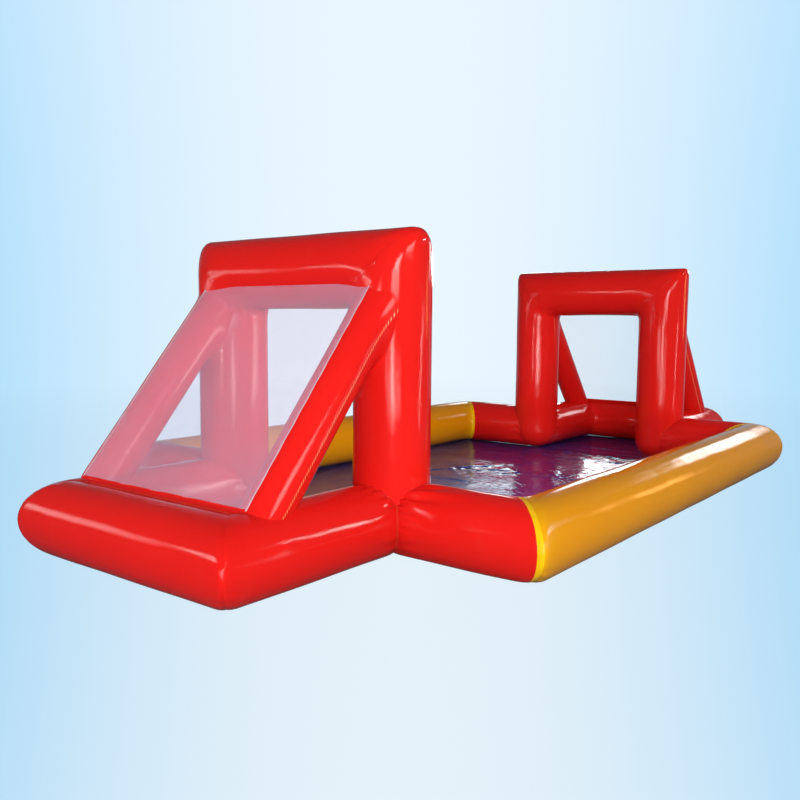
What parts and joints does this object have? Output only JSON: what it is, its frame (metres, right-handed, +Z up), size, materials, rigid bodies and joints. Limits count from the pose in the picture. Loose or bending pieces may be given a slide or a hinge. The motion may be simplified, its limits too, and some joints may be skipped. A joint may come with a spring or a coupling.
{
  "type": "inflatable football pitch with goals",
  "caption": "Inflatable football pitch: a ring of air tubes round a floor sheet, with a netted inflatable goal built into each short end.",
  "frame": {"origin": "on the ground, at the middle of the pitch", "axes": "+X along the pitch from the near goal to the far goal, +Y across it towards the wall on the left, +Z up"},
  "size_m": [7.9958, 4.0258, 2.0878],
  "materials": {
    "red_vinyl": "glossy coated fabric",
    "yellow_vinyl": "glossy coated fabric",
    "blue_vinyl": "very glossy coated fabric",
    "net_mesh": "fine translucent mesh",
    "valve_plastic": "moulded",
    "cap_plastic": "moulded",
    "valve_rubber": "matte",
    "spring_steel": "drawn wire"
  },
  "bodies": {
    "pitch": {"end_tube_near_right": "red_vinyl", "end_tube_near_left": "red_vinyl", "end_tube_far_right": "red_vinyl", "end_tube_far_left": "red_vinyl", "goal_base_side_near_right": "red_vinyl", "goal_base_side_near_left": "red_vinyl", "goal_base_back_near": "red_vinyl", "goal_post_near_right": "red_vinyl", "goal_post_near_left": "red_vinyl", "goal_crossbar_near": "red_vinyl", "goal_strut_near_right": "red_vinyl", "goal_strut_near_left": "red_vinyl", "net_hem_near": "red_vinyl", "goal_base_side_far_right": "red_vinyl", "goal_base_side_far_left": "red_vinyl", "goal_base_back_far": "red_vinyl", "goal_post_far_right": "red_vinyl", "goal_post_far_left": "red_vinyl", "goal_crossbar_far": "red_vinyl", "goal_strut_far_right": "red_vinyl", "goal_strut_far_left": "red_vinyl", "net_hem_far": "red_vinyl", "side_tube_right": "yellow_vinyl", "side_tube_left": "yellow_vinyl", "floor_main": "blue_vinyl", "floor_goal_near": "blue_vinyl", "floor_goal_far": "blue_vinyl", "goal_net_near": "net_mesh", "goal_net_far": "net_mesh", "valve_body_ring": "valve_plastic", "valve_nut_ring": "valve_plastic", "valve_tether_ring": "valve_rubber", "valve_spring_ring": "spring_steel", "valve_body_goal_near": "valve_plastic", "valve_nut_goal_near": "valve_plastic", "valve_tether_goal_near": "valve_rubber", "valve_spring_goal_near": "spring_steel", "valve_body_goal_far": "valve_plastic", "valve_nut_goal_far": "valve_plastic", "valve_tether_goal_far": "valve_rubber", "valve_spring_goal_far": "spring_steel"},
    "cap_ring": {"valve_cap_ring": "cap_plastic"},
    "plunger_ring": {"valve_plunger_ring": "valve_plastic", "valve_seal_ring": "valve_rubber"},
    "cap_goal_near": {"valve_cap_goal_near": "cap_plastic"},
    "plunger_goal_near": {"valve_plunger_goal_near": "valve_plastic", "valve_seal_goal_near": "valve_rubber"},
    "cap_goal_far": {"valve_cap_goal_far": "cap_plastic"},
    "plunger_goal_far": {"valve_plunger_goal_far": "valve_plastic", "valve_seal_goal_far": "valve_rubber"}
  },
  "joints": [
    {"name": "cap_turn_ring", "type": "hinge", "parent": "pitch", "child": "cap_ring", "pos_m": [2.6179, 1.265, 0.2429], "axis": [1, 0, 0], "range_deg": [0, 90]},
    {"name": "valve_press_ring", "type": "slide", "parent": "pitch", "child": "plunger_ring", "axis": [-1, 0, 0], "range_m": [0, 0.006], "stiffness_N_per_m": 400, "deforming": ["valve_spring_ring"]},
    {"name": "cap_turn_goal_near", "type": "hinge", "parent": "pitch", "child": "cap_goal_near", "pos_m": [-3.065, 1.0029, 0.2429], "axis": [0, 1, 0], "range_deg": [0, 90]},
    {"name": "valve_press_goal_near", "type": "slide", "parent": "pitch", "child": "plunger_goal_near", "axis": [0, -1, 0], "range_m": [0, 0.006], "stiffness_N_per_m": 400, "deforming": ["valve_spring_goal_near"]},
    {"name": "cap_turn_goal_far", "type": "hinge", "parent": "pitch", "child": "cap_goal_far", "pos_m": [3.065, 1.0029, 0.2429], "axis": [0, 1, 0], "range_deg": [0, 90]},
    {"name": "valve_press_goal_far", "type": "slide", "parent": "pitch", "child": "plunger_goal_far", "axis": [0, -1, 0], "range_m": [0, 0.006], "stiffness_N_per_m": 400, "deforming": ["valve_spring_goal_far"]}
  ]
}
